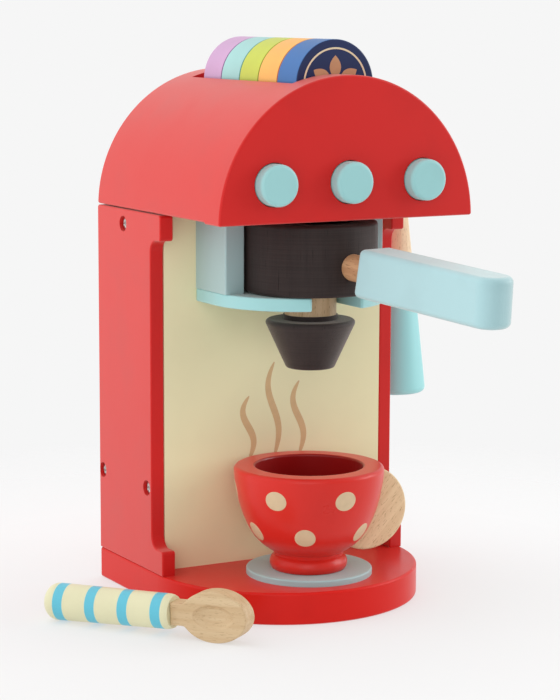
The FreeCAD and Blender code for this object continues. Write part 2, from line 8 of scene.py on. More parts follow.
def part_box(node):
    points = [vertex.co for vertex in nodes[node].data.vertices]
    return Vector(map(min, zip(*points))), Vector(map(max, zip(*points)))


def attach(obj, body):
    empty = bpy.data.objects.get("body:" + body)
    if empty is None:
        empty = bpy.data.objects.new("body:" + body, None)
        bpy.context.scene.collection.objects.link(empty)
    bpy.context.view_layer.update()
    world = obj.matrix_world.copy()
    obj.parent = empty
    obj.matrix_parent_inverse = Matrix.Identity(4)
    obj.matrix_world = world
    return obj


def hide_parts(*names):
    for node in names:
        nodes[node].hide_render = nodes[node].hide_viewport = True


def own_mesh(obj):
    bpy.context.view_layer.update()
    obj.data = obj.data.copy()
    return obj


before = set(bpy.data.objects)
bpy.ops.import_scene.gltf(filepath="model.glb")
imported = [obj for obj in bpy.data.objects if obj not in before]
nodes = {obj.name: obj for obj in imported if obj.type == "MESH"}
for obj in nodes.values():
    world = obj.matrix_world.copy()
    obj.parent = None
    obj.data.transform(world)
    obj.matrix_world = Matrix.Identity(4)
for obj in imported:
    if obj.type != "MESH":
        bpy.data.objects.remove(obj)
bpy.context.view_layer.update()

MM = 0.001

# Tint of the pale veil that satin paint shows at a low angle
SHEEN_TINT = (1.0, 0.88, 0.8, 1.0)

# Paint and print: thickness over a face, how far their edges reach under it, and softness of a painted edge
PAINT_THICKNESS = 0.06 * MM
PAINT_SINK = 0.12 * MM
STRIPE_EDGE = 0.08 * MM
DIP_EDGE = 0.1 * MM

# Relief of paint's skin, of the grain under it and of bare wood's flecks
SKIN_RELIEF = 0.03 * MM
GRAIN_RELIEF = 0.06 * MM

# Painted shade in the cup's bowl, its inside painted darker: radius of the bore, height from which it
# starts, how far outside the bore it is full and gone, the rise in which it starts, and its colour
BORE_RADIUS = 27.8 * MM
BOWL_FLOOR = 18.0 * MM
BOWL_SHADE_FULL = 0.2 * MM
BOWL_SHADE_GONE = 1.2 * MM
BOWL_SHADE_RISE = 0.5 * MM
BOWL_PAINTED_SHADE = (0.3, 0.004, 0.004, 1.0)

# Outside of the cup where dots can lie: over the foot it is narrower than the bore between two heights, and
# wider than the foot's waist; the rounded rim is left out
FLARE_LOW = 9.2 * MM
FLARE_HIGH = 14.0 * MM
WAIST_RADIUS = 17.0 * MM
RIM_ROUND = 3.0 * MM
WALL_DIGITS = 5

# Rows of dots on the cup: height over its foot, half width, half height, and places round it in degrees
UPPER_DOTS = (41.3 * MM, 5.8 * MM, 5.15 * MM, (-146, -90, -29, 32, 93, 154))
LOWER_DOTS = (21.7 * MM, 5.3 * MM, 5.6 * MM, (-179, -123, -61, 0, 60, 120))
DOT_POINTS = 48

# Layers of a dot, from its buried middle round its edge to its face: share of its radius, and its lift
DOT_LAYERS = (
    (0.02, -PAINT_SINK),
    (1.0, -PAINT_SINK),
    (1.0, 0.6 * PAINT_THICKNESS),
    (0.985, PAINT_THICKNESS),
    (0.8, PAINT_THICKNESS),
    (0.6, PAINT_THICKNESS),
    (0.4, PAINT_THICKNESS),
    (0.2, PAINT_THICKNESS),
    (0.02, PAINT_THICKNESS),
)

# Steam: stroke, swing, the swing's share at a wisp's foot, how its width tapers and where its tips are cut
STEAM_STROKE = 3.8 * MM
STEAM_SWING = 4.2 * MM
STEAM_FOOT = 0.55
STEAM_TAPER = 0.45
STEAM_TIP = 0.004
STEAM_POINTS = 90

# Wisps, left to right: place across the panel, height of the foot, and length
STEAM_LINES = (
    (-15.0 * MM, 70.0 * MM, 34.0 * MM),
    (0.0, 70.0 * MM, 51.0 * MM),
    (15.0 * MM, 70.0 * MM, 40.0 * MM),
)

# Print on a pod: the ring, and petals from near the middle outwards
POD_RING_RADIUS = 17.6 * MM
POD_RING_WIDTH = 0.9 * MM
POD_RING_POINTS = 128
POD_PETALS = 6
POD_PETAL_INNER = 2.6 * MM
POD_PETAL_OUTER = 14.0 * MM
POD_PETAL_WIDTH = 6.4 * MM
POD_PETAL_TAPER = 0.8
POD_PETAL_TIP = 0.01
POD_PETAL_POINTS = 40

# Pods from the front: the body, its paint, the rim's colour and the face's; the darker face is partly
# two-tone paint and partly painted shade
PODS = (
    ("pod_blue", "blue_paint", (62, 112, 174), (26, 42, 86)),
    ("pod_orange", "orange_paint", (244, 180, 92), (204, 100, 44)),
    ("pod_lime", "lime_paint", (198, 206, 80), (128, 146, 40)),
    ("pod_aqua", "aqua_pod_paint", (162, 208, 205), (64, 142, 144)),
    ("pod_lilac", "lilac_paint", (204, 162, 201), (132, 78, 136)),
)
POD_FACE_DEPTH = 0.35 * MM
POD_FACE_EDGE = 0.06 * MM

# Spoon: start and direction of its handle, and the stripes along it
SPOON_START = (-130.5 * MM, 5.7 * MM, 9.1 * MM)
SPOON_AXIS = (0.5803, -0.8135, 0.0376)
STRIPE_MIDDLE = 10.1 * MM
STRIPE_PITCH = 18.4 * MM
STRIPE_WIDTH = 5.5 * MM

# Directions of the grain, and the height down to which the wand is bare
UPRIGHT = (0, 0, 1)
CROSSWISE = (1, 0, 0)
PEG_AXIS = (0.1475, -0.9871, -0.0628)
EAR_GRAIN = (0.634, -0.089, 0.77)
WAND_PAINT_TOP = 158.0 * MM

# Finding the flat screw heads of a group: slack of their level, and reach of one head's points
HEAD_SLACK = 0.02 * MM
HEAD_REACH = 9.0 * MM

# Screws to be seen from outside: node, axis along which the heads look, and its sign
SCREW_GROUPS = (
    ("side_screws_left", 0, -1),
    ("side_screws_right", 0, 1),
    ("base_screws", 2, -1),
    ("fork_screws", 2, -1),
)

# Domed head with a cross on a flat head: heights of crown and rim, depth to which it is sunk, its circles as
# shares of the head's radius, and the crosses' turn in radians, at first and from screw to screw
DOME_RISE = 0.9 * MM
DOME_RIM = 0.02 * MM
DOME_SINK = 0.2 * MM
DOME_POINTS = 96
DOME_SHARES = (0.98, 0.98, *np.linspace(0.95, 0.02, 26))
CROSS_TURN = (0.4, 0.7)

# The cross: depth, and as shares of the head's radius its reach, half width, and slopes at side and end
CROSS_DEPTH = 1.1 * MM
CROSS_REACH = 0.62
CROSS_WIDTH = 0.17
CROSS_SIDE = 0.05
CROSS_END = 0.25

# Button springs: wire's radius, turns between the flange and the pocket's floor, and points of a turn and of
# the wire
SPRING_WIRE = 0.6 * MM
SPRING_TURNS = 4
TURN_POINTS = 24
WIRE_POINTS = 12

# Camera, as the photograph was taken: place in metres, angles in degrees, focal length in pixels
CAMERA_PLACE = (-0.5705, -1.0260, 0.3067)
CAMERA_YAW = 28.639
CAMERA_PITCH = -8.866
CAMERA_ROLL = 0.154
FOCAL_PIXELS = 2277.06
CENTRE_PIXEL = (264.26, 358.96)
IMAGE_SIZE = (560, 700)
SENSOR_WIDTH = 36.0

# Backdrop's level, and the floor: half size, the paper's level, share of its light that is a glow, and the
# distances from the toy between which it fades into the backdrop
BACKDROP_LEVEL = 0.922
FLOOR_HALF = 1.6
FLOOR_PAPER = 0.82
FLOOR_GLOW = 0.55
FLOOR_FADE = (0.22, 0.42)

# World brightness: the direction's share along an axis, from and to, and the level at each end
WORLD_LEVELS = (
    ("Y", -0.35, 0.55, 0.3, 1.3),
    ("X", -0.95, -0.1, 0.8, 0.0),
    ("X", 0.2, 0.9, 0.0, 0.2),
    ("Z", -0.3, 0.02, 0.5, 0.0),
    ("Z", 0.3, 0.95, 0.0, 0.8),
)

# Lamps: name, place, the point each looks at, size and watts
LAMPS = (
    ("key_right", (1.55, -0.55, 0.6), (0, 0, 0.13), (1.0, 1.0), 12),
    ("fill_left", (-0.9, -1.4, 0.5), (0, 0, 0.13), (1.2, 1.2), 5),
)


def srgb(red, green, blue):
    """Linear colour of a paint that reads as these 0 to 255 values."""
    shares = np.array([red, green, blue]) / 255
    linear = np.where(shares <= 0.04045, shares / 12.92, ((shares + 0.055) / 1.055) ** 2.4)
    return (*map(float, linear), 1.0)


class Finish:
    """One material, with short ways to add its nodes and join them."""

    def __init__(self, name):
        self.material = bpy.data.materials.new(name)
        self.material.use_nodes = True
        self.tree = self.material.node_tree
        self.shader = self.tree.nodes["Principled BSDF"]
        self.place = self.add("ShaderNodeTexCoord").outputs["Object"]

    def add(self, kind, **settings):
        """New node of a kind, with its settings."""
        node = self.tree.nodes.new(kind)
        for key, value in settings.items():
            setattr(node, key, value)
        return node

    def put(self, socket, value):
        """Join a socket to another node's, or give it a fixed value."""
        if isinstance(value, bpy.types.NodeSocket):
            self.tree.links.new(value, socket)
        else:
            socket.default_value = value

    def grain_space(self, direction, length, width):
        """Object coordinates turned so that X runs along the grain, in units of the figure's size."""
        turned = self.add("ShaderNodeMapping", vector_type="TEXTURE")
        turned.inputs["Rotation"].default_value = Vector(direction).to_track_quat("X", "Z").to_euler()
        turned.inputs["Scale"].default_value = (length, width, width)
        self.put(turned.inputs["Vector"], self.place)
        return turned.outputs["Vector"]

    def noise(self, vector, scale=1.0, detail=3.0, roughness=0.5, distortion=0.0):
        """Cloudy noise in the units of the coordinates given."""
        node = self.add("ShaderNodeTexNoise")
        self.put(node.inputs["Vector"], vector)
        node.inputs["Scale"].default_value = scale
        node.inputs["Detail"].default_value = detail
        node.inputs["Roughness"].default_value = roughness
        node.inputs["Distortion"].default_value = distortion
        return node.outputs["Fac"]

    def ramp(self, value, *stops):
        """Colour read off a scale of stops, each a position and a colour."""
        node = self.add("ShaderNodeValToRGB")
        band = node.color_ramp.elements
        while len(band) < len(stops):
            band.new(0.5)
        for element, (position, colour) in zip(band, stops):
            element.position = position
            element.color = colour if len(colour) == 4 else (*colour, 1.0)
        self.put(node.inputs["Fac"], value)
        return node.outputs["Color"]

    def span(self, value, from_low, from_high, to_low, to_high):
        """One range laid over another in a straight line, held at both ends."""
        node = self.add("ShaderNodeMapRange")
        self.put(node.inputs["Value"], value)
        node.inputs["From Min"].default_value = from_low
        node.inputs["From Max"].default_value = from_high
        node.inputs["To Min"].default_value = to_low
        node.inputs["To Max"].default_value = to_high
        return node.outputs["Result"]

    def math(self, operation, first, second=0.0):
        """Result of an operation on one or two values."""
        node = self.add("ShaderNodeMath", operation=operation)
        self.put(node.inputs[0], first)
        self.put(node.inputs[1], second)
        return node.outputs["Value"]

    def mix(self, share, first, second, blend="MIX"):
        """Two colours blended by a share."""
        node = self.add("ShaderNodeMix", data_type="RGBA", blend_type=blend)
        self.put(node.inputs["Factor"], share)
        self.put(node.inputs["A"], first)
        self.put(node.inputs["B"], second)
        return node.outputs["Result"]

    def shaded(self, colour, shade):
        """A colour darkened by another."""
        return self.mix(1.0, colour, shade, "MULTIPLY")

    def axes(self, vector):
        """The vector's X, Y and Z, by name."""
        node = self.add("ShaderNodeSeparateXYZ")
        self.put(node.inputs["Vector"], vector)
        return node.outputs

    def skin(self, scale, strength):
        """Fine unevenness of a coat of paint."""
        return self.bump(self.noise(self.place, scale, detail=2.0), SKIN_RELIEF, strength)

    def bump(self, height, distance, strength, under=None):
        """Relief of a given height in metres, over another relief where there is one."""
        node = self.add("ShaderNodeBump")
        self.put(node.inputs["Height"], height)
        node.inputs["Distance"].default_value = distance
        node.inputs["Strength"].default_value = strength
        if under is not None:
            self.put(node.inputs["Normal"], under)
        return node.outputs["Normal"]

    def surface(self, colour, roughness, normal=None, specular=0.3, sheen=0.0):
        """The finished material: colour, roughness, relief, gloss and pale veil."""
        self.put(self.shader.inputs["Base Color"], colour)
        self.put(self.shader.inputs["Roughness"], roughness)
        self.shader.inputs["Specular IOR Level"].default_value = specular
        self.shader.inputs["Sheen Weight"].default_value = sheen
        self.shader.inputs["Sheen Tint"].default_value = SHEEN_TINT
        if normal is not None:
            self.put(self.shader.inputs["Normal"], normal)
        return self.material


def painted_wood(
    name, colour, grain=UPRIGHT, roughness=0.42, mottle=0.05, sheen=0.3, specular=0.3, bowl=None
):
    """Satin paint on a smooth board: faint mottling, a fine skin and the ghost of the grain beneath. A
    vessel's bowl, where one is named, gets painted shade: a darker colour inside it."""
    finish = Finish(name)
    if bowl is not None:
        # Painted shade: the inside of the bowl is painted darker
        colour = finish.mix(bowl_shade_share(finish, bowl), colour, BOWL_PAINTED_SHADE)
    cloud = finish.noise(finish.place, scale=38.0, detail=4.0)
    shade = finish.span(cloud, 0.3, 0.7, 1.0 - mottle, 1.0 + mottle)
    tint = finish.shaded(colour, finish.ramp(shade, (0.0, (0, 0, 0)), (1.0, (1, 1, 1))))
    ghost = finish.noise(finish.grain_space(grain, 30 * MM, 1.1 * MM), detail=4.0, roughness=0.6)
    skin = finish.skin(scale=1400.0, strength=0.35)
    normal = finish.bump(ghost, GRAIN_RELIEF, strength=0.35, under=skin)
    gloss = finish.span(cloud, 0.2, 0.8, roughness - 0.04, roughness + 0.05)
    return finish.surface(tint, gloss, normal, specular, sheen)


def bowl_shade_share(finish, body):
    """Share of the painted shade: one inside the bowl, nought elsewhere, that is nearer the axis than the
    rim and above the bowl's floor. The distance from the axis is the root of the sum of X and Y squared."""
    low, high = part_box(body)
    offset = finish.add("ShaderNodeVectorMath", operation="SUBTRACT")
    finish.put(offset.inputs[0], finish.place)
    offset.inputs[1].default_value = ((low.x + high.x) / 2, (low.y + high.y) / 2, low.z + BOWL_FLOOR)
    axes = finish.axes(offset.outputs["Vector"])
    across = finish.math("POWER", axes["X"], 2.0)
    along = finish.math("POWER", axes["Y"], 2.0)
    reach = finish.math("SQRT", finish.math("ADD", across, along))
    near = finish.span(reach, BORE_RADIUS + BOWL_SHADE_GONE, BORE_RADIUS + BOWL_SHADE_FULL, 0.0, 1.0)
    return finish.math("MULTIPLY", near, finish.span(axes["Z"], 0.0, BOWL_SHADE_RISE, 0.0, 1.0))


def striped_paint(name, ground, stripe):
    """Cream lacquer with wide rings at equal steps along the turned handle: the distance along its axis,
    folded to and fro over half a step, is less than half a ring's width."""
    finish = Finish(name)
    along = finish.add("ShaderNodeVectorMath", operation="DOT_PRODUCT")
    finish.put(along.inputs[0], finish.place)
    along.inputs[1].default_value = SPOON_AXIS
    start = Vector(SPOON_START).dot(Vector(SPOON_AXIS)) + STRIPE_MIDDLE
    wave = finish.math("PINGPONG", finish.math("SUBTRACT", along.outputs["Value"], start), STRIPE_PITCH / 2)
    ring = finish.span(wave, STRIPE_WIDTH / 2 + STRIPE_EDGE, STRIPE_WIDTH / 2 - STRIPE_EDGE, 0.0, 1.0)
    cloud = finish.noise(finish.place, scale=60.0, detail=3.0)
    shade = finish.ramp(cloud, (0.3, (0.94, 0.94, 0.94)), (0.7, (1, 1, 1)))
    colour = finish.shaded(finish.mix(ring, ground, stripe), shade)
    skin = finish.skin(scale=1200.0, strength=0.3)
    normal = finish.bump(ring, distance=0.05 * MM, strength=0.6, under=skin)
    return finish.surface(colour, roughness=0.34, normal=normal)


def pod_paint_with_painted_shade(name, rim, face, node):
    """Satin paint of a pod: one colour on the rim and the back, a deeper one on the front face, which is
    partly its own two-tone paint and partly painted shade.
    """
    low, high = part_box(node)
    finish = Finish(name)
    edge = low.y + POD_FACE_DEPTH
    depth = finish.axes(finish.place)["Y"]
    front = finish.span(depth, edge + POD_FACE_EDGE, edge - POD_FACE_EDGE, 0.0, 1.0)
    cloud = finish.noise(finish.place, scale=60.0, detail=4.0)
    shade = finish.ramp(cloud, (0.3, (0.92, 0.92, 0.92)), (0.7, (1, 1, 1)))
    # Painted shade: the front face takes the darker colour, partly two-tone paint and partly shade of the
    # front
    colour = finish.shaded(finish.mix(front, rim, face), shade)
    gloss = finish.span(cloud, 0.2, 0.8, 0.4, 0.5)
    return finish.surface(colour, gloss, finish.skin(scale=1300.0, strength=0.4))


def beech_colour(finish, grain, pale, deep, fleck=0.8):
    """Colour of clear lacquered beech: soft growth bands and short dark flecks along the grain. The flecks
    are given back too, for the relief."""
    long_grain = finish.grain_space(grain, 140 * MM, 2.8 * MM)
    bands = finish.noise(long_grain, detail=3.0, roughness=0.55, distortion=0.1)
    flecks = finish.noise(finish.grain_space(grain, 3.6 * MM, 0.5 * MM), detail=2.0, roughness=0.5)
    ground = finish.ramp(bands, (0.3, deep), (0.68, pale))
    spots = finish.ramp(flecks, (0.34, (0.56, 0.47, 0.38)), (0.4, (1, 1, 1)))
    return finish.mix(fleck, ground, spots, "MULTIPLY"), flecks


def bare_beech(name, grain, pale=srgb(222, 190, 152), deep=srgb(198, 160, 118), fleck=0.8):
    """Clear lacquer on beech, with the flecks just felt."""
    finish = Finish(name)
    colour, flecks = beech_colour(finish, grain, pale, deep, fleck)
    return finish.surface(colour, roughness=0.5, normal=finish.bump(flecks, GRAIN_RELIEF, strength=0.3))


def dipped_beech(name, paint, edge_height):
    """Turned wand: clear beech above, dipped in paint below a clean edge."""
    finish = Finish(name)
    wood, flecks = beech_colour(finish, UPRIGHT, srgb(246, 222, 188), srgb(234, 202, 164), fleck=0.4)
    height = finish.axes(finish.place)["Z"]
    dipped = finish.span(height, edge_height + DIP_EDGE, edge_height - DIP_EDGE, 0.0, 1.0)
    colour = finish.mix(dipped, wood, paint)
    felt = finish.bump(flecks, distance=0.05 * MM, strength=0.2)
    normal = finish.bump(dipped, distance=0.1 * MM, strength=0.5, under=felt)
    return finish.surface(colour, finish.span(dipped, 0.0, 1.0, 0.5, 0.4), normal)


def dark_stain(name, sheen=0.07):
    """Dark brown stain over open grain: dark cracks along the wood and fine turning marks round it."""
    finish = Finish(name)
    long_grain = finish.grain_space(UPRIGHT, 50 * MM, 3.5 * MM)
    bands = finish.noise(long_grain, detail=4.0, roughness=0.6, distortion=0.2)
    pores = finish.noise(finish.grain_space(UPRIGHT, 16 * MM, 0.6 * MM), detail=2.0, roughness=0.55)
    turning = finish.noise(finish.grain_space(UPRIGHT, 0.5 * MM, 50 * MM), detail=3.0, roughness=0.6)
    ground = finish.ramp(bands, (0.3, srgb(44, 34, 33)), (0.7, srgb(51, 40, 38)))
    lines = finish.ramp(pores, (0.27, (0.25, 0.22, 0.21)), (0.32, (1, 1, 1)))
    marks = finish.ramp(turning, (0.36, (0.74, 0.72, 0.72)), (0.6, (1, 1, 1)))
    colour = finish.shaded(finish.shaded(ground, lines), marks)
    cracks = finish.bump(lines, distance=0.2 * MM, strength=0.5)
    normal = finish.bump(turning, distance=0.08 * MM, strength=0.4, under=cracks)
    gloss = finish.span(pores, 0.3, 0.6, 0.66, 0.5)
    return finish.surface(colour, gloss, normal, specular=0.2, sheen=sheen)


def zinc(name):
    """Bright plated steel, a little uneven in colour and polish."""
    finish = Finish(name)
    cloud = finish.noise(finish.place, scale=900.0, detail=3.0)
    finish.shader.inputs["Metallic"].default_value = 1.0
    colour = finish.ramp(cloud, (0.3, (0.48, 0.47, 0.45)), (0.7, (0.72, 0.71, 0.69)))
    return finish.surface(colour, finish.span(cloud, 0.3, 0.7, 0.28, 0.42))


def printed_ink(name, colour):
    """Flat print: one ink with the slight unevenness of a pad print."""
    finish = Finish(name)
    cloud = finish.noise(finish.place, scale=260.0, detail=4.0)
    shade = finish.ramp(cloud, (0.25, (0.93, 0.93, 0.93)), (0.6, (1, 1, 1)))
    return finish.surface(finish.shaded(colour, shade), roughness=0.5)


def coat(material, *names):
    """Give CAD nodes or pieces their finish."""
    for name in names:
        piece = nodes[name] if isinstance(name, str) else name
        piece.data.materials.clear()
        piece.data.materials.append(material)


def closed_mesh(name, rings, wrap=False):
    """Mesh through a row of closed rings, an array of rings by points by 3. The row either closes on
    itself or ends in a point at the middle of its first and last ring. Faces are turned outwards: the
    volumes of the tetrahedra from the middle to each face add up to more than nought."""
    rings = np.asarray(rings, float)
    count, around = rings.shape[:2]
    points = rings.reshape(-1, 3)
    rows = np.arange(count if wrap else count - 1)[:, None]
    step = np.arange(around)[None, :]
    ahead = (step + 1) % around
    after = (rows + 1) % count
    quads = np.stack(
        [rows * around + step, rows * around + ahead, after * around + ahead, after * around + step], -1
    ).reshape(-1, 4)
    faces = quads.tolist()
    if not wrap:
        points = np.vstack([points, rings[0].mean(0), rings[-1].mean(0)])
        side = np.arange(around)
        turn = (side + 1) % around
        base = (count - 1) * around
        faces += np.stack([turn, side, np.full(around, len(points) - 2)], -1).tolist()
        faces += np.stack([base + side, base + turn, np.full(around, len(points) - 1)], -1).tolist()
    halves = np.vstack([quads[:, [0, 1, 2]], quads[:, [0, 2, 3]]])
    first, second, third = np.moveaxis(points[halves] - points.mean(0), 1, 0)
    if (first * np.cross(second, third)).sum() < 0:
        faces = [face[::-1] for face in faces]
    mesh = bpy.data.meshes.new(name)
    mesh.from_pydata(points.tolist(), [], faces)
    mesh.update()
    piece = bpy.data.objects.new(name, mesh)
    bpy.context.scene.collection.objects.link(piece)
    return piece


def smooth(piece):
    """The piece, shaded without facets."""
    piece.data.shade_smooth()
    return piece


def node_points(node):
    """Every point of a CAD node, as rows of X, Y and Z."""
    mesh = nodes[node].data
    flat = np.empty(3 * len(mesh.vertices))
    mesh.vertices.foreach_get("co", flat)
    place = np.array(nodes[node].matrix_world)
    return flat.reshape(-1, 3) @ place[:3, :3].T + place[:3, 3]


def cup_wall():
    """Outside of the bowl, read from the cup's own rows of points: arc length, radius and height over the
    foot, and the outward normal's two shares. Each row's radius is its largest, the arc length adds up the
    steps from row to row, and the normal is the direction along it, turned by a right angle."""
    low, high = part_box("cup")
    x, y, z = node_points("cup").T
    radius = np.hypot(x - (low.x + high.x) / 2, y - (low.y + high.y) / 2)
    height = z - low.z
    flare = (height > FLARE_LOW) & (height < FLARE_HIGH) & (radius > WAIST_RADIUS)
    wall = ((radius > BORE_RADIUS) | flare) & (height < high.z - low.z - RIM_ROUND)
    heights, row = np.unique(np.round(height[wall], WALL_DIGITS), return_inverse=True)
    radii = np.zeros(len(heights))
    np.maximum.at(radii, row, radius[wall])
    steps = np.hypot(np.diff(radii), np.diff(heights))
    length = np.concatenate([[0.0], np.cumsum(steps)])
    along = np.stack([np.gradient(radii, length), np.gradient(heights, length)], -1)
    along /= np.linalg.norm(along, axis=1)[:, None]
    return length, radii, heights, along[:, 1], -along[:, 0]


def cup_dot(name, wall, height, half_width, half_height, azimuth):
    """Round dot laid on the bowl: polar grid of the dot, its v measured along the wall's arc length and its
    u round the cup, lifted by the paint's thickness and sunk under the wall at its rim."""
    low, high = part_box("cup")
    axis = (low + high) / 2
    length, radii, heights, out, up = wall
    turn = np.linspace(0, 2 * np.pi, DOT_POINTS, endpoint=False)
    share, lift = np.array(DOT_LAYERS).T[:, :, None]
    at = np.interp(height, heights, length) + half_height * share * np.sin(turn)
    radius = np.interp(at, length, radii) + lift * np.interp(at, length, out)
    z = low.z + np.interp(at, length, heights) + lift * np.interp(at, length, up)
    angle = math.radians(azimuth) + half_width * share * np.cos(turn) / radius
    rings = np.stack([axis.x + radius * np.cos(angle), axis.y + radius * np.sin(angle), z], -1)
    return smooth(closed_mesh(name, rings))


def paint_section(inner, outer, front):
    """Corners of a flat coat's box section on an upright face, in order round it: each one's side, and its
    depth from under the face to the paint's thickness before it."""
    under = front + PAINT_SINK
    over = front - PAINT_THICKNESS
    return (inner, under), (inner, over), (outer, over), (outer, under)


def flat_stroke(name, path, width, front):
    """Brushed line on an upright face: a path in X and Z with its width at each point, as a thin plate
    whose section is a flat box. Its sides are the path, moved by half the width square to it."""
    along = np.gradient(path, axis=0)
    along /= np.linalg.norm(along, axis=1)[:, None]
    half = np.stack([-along[:, 1], along[:, 0]], -1) * width[:, None] / 2
    rings = np.stack([
        np.stack([side[:, 0], np.full(len(path), depth), side[:, 1]], -1)
        for side, depth in paint_section(path + half, path - half, front)
    ], 1)
    return closed_mesh(name, rings)


def tapered(share, width, taper, tip):
    """Width along a stroke: a power of the sine of the way along it, from blunt tip to blunt tip."""
    return width * np.sin(np.pi * np.clip(share, tip, 1 - tip)) ** taper


def steam_line(name, x, z, height, front):
    """S-shaped wisp: one sine wave whose swing grows with height, tapering to both ends."""
    share = np.linspace(0, 1, STEAM_POINTS)
    swing = STEAM_SWING * (STEAM_FOOT + (1 - STEAM_FOOT) * share)
    path = np.stack([x + swing * np.sin(2 * np.pi * share), z + height * share], -1)
    return flat_stroke(name, path, tapered(share, STEAM_STROKE, STEAM_TAPER, STEAM_TIP), front)


def flat_ring(name, centre, radius, width, front):
    """Thin ring on an upright face: a flat box section carried round a circle."""
    turn = np.linspace(0, 2 * np.pi, POD_RING_POINTS, endpoint=False)
    rings = np.stack([
        np.stack([centre.x + r * np.cos(turn), np.full(turn.shape, depth), centre.z + r * np.sin(turn)], -1)
        for r, depth in paint_section(radius - width / 2, radius + width / 2, front)
    ], 1)
    return closed_mesh(name, rings, wrap=True)


def flat_petal(name, centre, azimuth, front):
    """Pointed petal from near the disc's middle outwards: a leaf whose half width is a power of the sine of
    the way along it."""
    share = np.linspace(0, 1, POD_PETAL_POINTS)
    reach = POD_PETAL_INNER + (POD_PETAL_OUTER - POD_PETAL_INNER) * share
    path = np.stack([centre.x + reach * math.cos(azimuth), centre.z + reach * math.sin(azimuth)], -1)
    return flat_stroke(name, path, tapered(share, POD_PETAL_WIDTH, POD_PETAL_TAPER, POD_PETAL_TIP), front)


def print_pods(ink, line):
    """A thin ring and a rosette of petals on the front of each pod."""
    for number, (body, *_) in enumerate(PODS, 1):
        low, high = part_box("pod_%d" % number)
        centre = (low + high) / 2
        ring = flat_ring("pod_%d_ring" % number, centre, POD_RING_RADIUS, POD_RING_WIDTH, low.y)
        coat(line, ring)
        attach(ring, body)
        for petal in range(POD_PETALS):
            azimuth = math.pi / 2 + 2 * math.pi * petal / POD_PETALS
            leaf = flat_petal("pod_%d_petal_%d" % (number, petal + 1), centre, azimuth, low.y)
            coat(ink, leaf)
            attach(leaf, body)


def dot_cup(paint):
    """Two staggered rows of dots round the bowl."""
    wall = cup_wall()
    for row, (height, half_width, half_height, azimuths) in (("upper", UPPER_DOTS), ("lower", LOWER_DOTS)):
        for number, azimuth in enumerate(azimuths, 1):
            dot = cup_dot("cup_dot_%s_%d" % (row, number), wall, height, half_width, half_height, azimuth)
            coat(paint, dot)
            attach(dot, "cup")


def head_places(node, axis, sign):
    """Middle and radius of each flat screw head of a group: its end points, gathered by nearness."""
    points = node_points(node)
    level = points[:, axis] * sign
    ends = points[level > level.max() - HEAD_SLACK]
    places = []
    while len(ends):
        near = np.linalg.norm(ends - ends[0], axis=1) < HEAD_REACH
        low, high = ends[near].min(0), ends[near].max(0)
        places.append(((low + high) / 2, (high - low).max() / 2))
        ends = ends[~near]
    return places


def cross_arm(along, across):
    """Share of the cross's full depth in one of its arms: falls in a straight line at its sides and ends."""
    side = np.clip((CROSS_WIDTH - np.abs(across)) / CROSS_SIDE, 0, 1)
    return side * np.clip((CROSS_REACH - np.abs(along)) / CROSS_END, 0, 1)


def screw_dome(name, middle, radius, axis, sign, turn):
    """Domed head with a cross: polar grid whose height is a parabola of the radius, less the depth of two
    crossed grooves that fade towards their ends. Its rim stands on the flat head, its base is sunk in it."""
    around = np.linspace(0, 2 * np.pi, DOME_POINTS, endpoint=False)
    share = np.array(DOME_SHARES)[:, None]
    u = share * np.cos(around)
    v = share * np.sin(around)
    a = u * math.cos(turn) + v * math.sin(turn)
    b = v * math.cos(turn) - u * math.sin(turn)
    groove = np.maximum(cross_arm(a, b), cross_arm(b, a))
    height = np.maximum(DOME_RISE * (1 - share ** 2) - CROSS_DEPTH * groove, DOME_RIM)
    height[0] = -DOME_SINK
    sides = [u * radius, v * radius]
    sides.insert(axis, height * sign)
    return smooth(closed_mesh(name, np.stack(sides, -1) + middle))


def dome_screws(metal):
    """Domed heads on every screw that can be seen from outside."""
    first, step = CROSS_TURN
    for node, axis, sign in SCREW_GROUPS:
        for number, (middle, radius) in enumerate(head_places(node, axis, sign), 1):
            turn = first + step * number
            dome = screw_dome("%s_dome_%d" % (node, number), middle, radius, axis, sign, turn)
            coat(metal, dome)
            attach(dome, "machine")


def coil_spring(name, low, high):
    """Compression spring along Y: a circle of wire carried along a helix, turned about the helix's own
    tangent; its radius and length are those of the box it fills."""
    middle = (low + high) / 2
    radius = (high.x - low.x) / 2 - SPRING_WIRE
    along = np.linspace(0, 1, TURN_POINTS * SPRING_TURNS + 1)[:, None]
    turn = 2 * np.pi * SPRING_TURNS * along
    run = high.y - low.y - 2 * SPRING_WIRE
    rise = run / (2 * np.pi * SPRING_TURNS)
    around = np.linspace(0, 2 * np.pi, WIRE_POINTS, endpoint=False)[None, :]
    out = SPRING_WIRE * np.cos(around)
    up = SPRING_WIRE * np.sin(around)
    slope = math.hypot(radius, rise)
    x = middle.x + (radius + out) * np.cos(turn) + up * np.sin(turn) * rise / slope
    z = middle.z + (radius + out) * np.sin(turn) - up * np.cos(turn) * rise / slope
    y = low.y + SPRING_WIRE + run * along + up * radius / slope
    return smooth(closed_mesh(name, np.stack([x, np.broadcast_to(y, x.shape), z], -1)))


def spring_buttons(metal):
    """A spring behind each button that stands on the pocket's floor."""
    for side in ("left", "middle", "right"):
        node = "button_spring_" + side
        low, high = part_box(node)
        spring = coil_spring("coil_" + side, low, high)
        coat(metal, spring)
        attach(spring, "machine")
        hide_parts(node)
        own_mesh(spring)


def draw_steam(ink):
    """Three wisps side by side on the front panel, over the cup."""
    low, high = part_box("front_panel")
    for number, (x, z, height) in enumerate(STEAM_LINES, 1):
        wisp = steam_line("steam_line_%d" % number, x, z, height, low.y)
        coat(ink, wisp)
        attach(wisp, "machine")


